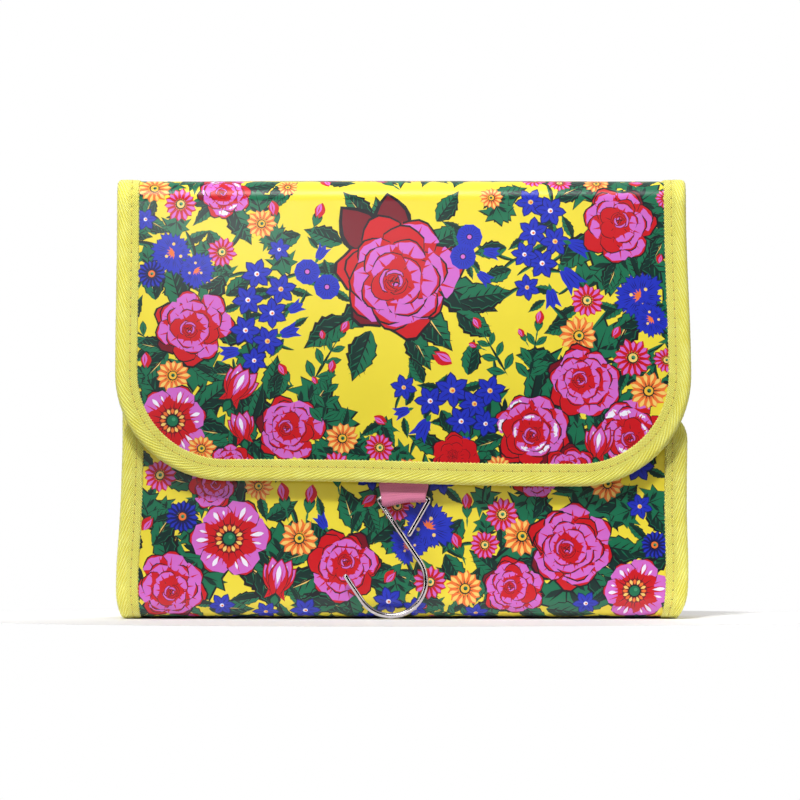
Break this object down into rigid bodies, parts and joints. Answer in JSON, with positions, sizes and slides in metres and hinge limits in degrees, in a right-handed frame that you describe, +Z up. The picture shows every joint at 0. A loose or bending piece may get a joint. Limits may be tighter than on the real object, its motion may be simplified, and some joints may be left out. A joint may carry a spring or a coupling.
{
  "type": "hanging toiletry bag",
  "caption": "Soft toiletry bag that folds up like a letter: floral oilcloth cover, taped edges, zipped inner pouches and a wire hook on a ribbon.",
  "frame": {"origin": "middle of the closed bag's base, on the surface that it stands on", "axes": "+Z up, +X to the right across the bag's face, +Y from the flap's face to the back"},
  "size_m": [0.26, 0.062, 0.2],
  "materials": {
    "printed_oilcloth": "glossy printed oilcloth",
    "edge_binding": "twill tape",
    "foam_board": "foam",
    "lining": "woven nylon",
    "pouch_fabric": "woven nylon",
    "mesh": "knitted mesh",
    "clear_window": "clear flexible vinyl",
    "zip_tape": "woven zip tape",
    "zip_coil": "nylon coil",
    "zip_metal": "plated",
    "closure_strip": "hook and loop tape",
    "ribbon": "grosgrain ribbon",
    "hook_wire": "bright plated steel wire"
  },
  "bodies": {
    "back": {"back_cover": "printed_oilcloth", "back_board": "foam_board", "back_lining": "lining", "back_binding": "edge_binding", "back_pouch_gusset": "pouch_fabric", "back_pouch_header": "pouch_fabric", "back_pouch_window": "clear_window", "back_pouch_trim": "edge_binding", "back_zip_tapes": "zip_tape", "back_zip_coil": "zip_coil", "back_zip_stops": "zip_metal"},
    "roof": {"roof_cover": "printed_oilcloth", "roof_wadding": "foam_board", "roof_lining": "lining", "roof_binding": "edge_binding"},
    "flap": {"flap_cover": "printed_oilcloth", "flap_board": "foam_board", "flap_lining": "lining", "flap_binding": "edge_binding", "flap_closure_hook_strips": "closure_strip", "strap_sewn_end": "ribbon", "flap_pouch_gusset": "pouch_fabric", "flap_pouch_header": "pouch_fabric", "flap_pouch_mesh": "mesh", "flap_pouch_trim": "edge_binding", "flap_zip_tapes": "zip_tape", "flap_zip_coil": "zip_coil", "flap_zip_stops": "zip_metal"},
    "base": {"base_cover": "printed_oilcloth", "base_wadding": "foam_board", "base_lining": "lining", "base_binding": "edge_binding"},
    "front": {"front_cover": "printed_oilcloth", "front_board": "foam_board", "front_lining": "lining", "front_binding": "edge_binding", "front_closure_loop_strips": "closure_strip", "front_pouch_gusset": "pouch_fabric", "front_pouch_header": "pouch_fabric", "front_pouch_window": "clear_window", "front_pouch_trim": "edge_binding", "front_zip_tapes": "zip_tape", "front_zip_coil": "zip_coil", "front_zip_stops": "zip_metal"},
    "strap": {"strap_loop": "ribbon"},
    "hook": {"hanging_hook": "hook_wire"},
    "flap_slider": {"flap_zip_slider": "zip_metal"},
    "flap_pull": {"flap_zip_pull": "zip_metal"},
    "back_slider": {"back_zip_slider": "zip_metal"},
    "back_pull": {"back_zip_pull": "zip_metal"},
    "front_slider": {"front_zip_slider": "zip_metal"},
    "front_pull": {"front_zip_pull": "zip_metal"}
  },
  "joints": [
    {"name": "top_fold", "type": "hinge", "parent": "back", "child": "roof", "pos_m": [0, 0.02885, 0.19785], "axis": [-1, 0, 0], "range_deg": [0, 90]},
    {"name": "flap_fold", "type": "hinge", "parent": "roof", "child": "flap", "pos_m": [0, -0.02885, 0.19785], "axis": [-1, 0, 0], "range_deg": [0, 90]},
    {"name": "base_fold", "type": "hinge", "parent": "back", "child": "base", "pos_m": [0, 0.02885, 0.00215], "axis": [1, 0, 0], "range_deg": [0, 90]},
    {"name": "front_fold", "type": "hinge", "parent": "base", "child": "front", "pos_m": [0, -0.02105, 0.00215], "axis": [1, 0, 0], "range_deg": [0, 90]},
    {"name": "strap_swing", "type": "hinge", "parent": "flap", "child": "strap", "pos_m": [0.001, -0.0257, 0.0606], "axis": [-1, 0, 0], "range_deg": [0, 75]},
    {"name": "hook_pivot", "type": "hinge", "parent": "strap", "child": "hook", "pos_m": [0.001, -0.0257, 0.0557], "axis": [-1, 0, 0], "range_deg": [0, 60]},
    {"name": "flap_zip_slide", "type": "slide", "parent": "flap", "child": "flap_slider", "axis": [-1, 0, 0], "range_m": [0, 0.205]},
    {"name": "flap_pull_turn", "type": "hinge", "parent": "flap_slider", "child": "flap_pull", "pos_m": [0.1025, 0.0005, 0.12], "axis": [0, 1, 0], "range_deg": [-85, 85]},
    {"name": "back_zip_slide", "type": "slide", "parent": "back", "child": "back_slider", "axis": [-1, 0, 0], "range_m": [0, 0.205]},
    {"name": "back_pull_turn", "type": "hinge", "parent": "back_slider", "child": "back_pull", "pos_m": [0.1025, 0.0035, 0.166], "axis": [0, -1, 0], "range_deg": [-85, 85]},
    {"name": "front_zip_slide", "type": "slide", "parent": "front", "child": "front_slider", "axis": [-1, 0, 0], "range_m": [0, 0.205]},
    {"name": "front_pull_turn", "type": "hinge", "parent": "front_slider", "child": "front_pull", "pos_m": [0.1025, 0.0005, 0.0335], "axis": [0, 1, 0], "range_deg": [-85, 85]}
  ],
  "couplings": [
    {"joint": "flap_fold", "follows": "top_fold", "ratio": 1},
    {"joint": "base_fold", "follows": "top_fold", "ratio": 1},
    {"joint": "front_fold", "follows": "top_fold", "ratio": 1}
  ]
}
